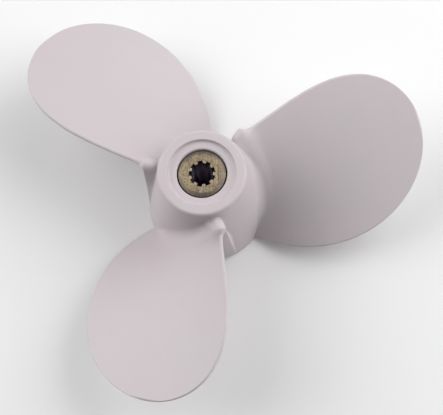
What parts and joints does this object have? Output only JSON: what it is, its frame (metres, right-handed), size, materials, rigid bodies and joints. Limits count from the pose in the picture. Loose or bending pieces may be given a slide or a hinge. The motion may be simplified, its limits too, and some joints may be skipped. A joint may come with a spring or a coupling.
{
  "type": "outboard motor propeller",
  "caption": "Small right-hand outboard motor propeller: broad skewed blades on a tapered cast hub, with a rubber-bushed, splined brass sleeve.",
  "frame": {"origin": "on the shaft's axis, in the plane of the hub's forward rim, on which the propeller rests when set down", "axes": "+Z aft along the shaft's axis, away from the gearcase; +Y along the first blade's reference line"},
  "size_m": [0.1729, 0.1601, 0.047],
  "materials": {
    "white_paint": "satin off-white paint with a faint mauve cast, over a die casting",
    "black_rubber": "matte black, moulded",
    "brass": "turned and lightly tarnished"
  },
  "bodies": {
    "root": {"propeller_casting": "white_paint", "rubber_bush": "black_rubber", "splined_sleeve": "brass"}
  },
  "joints": []
}
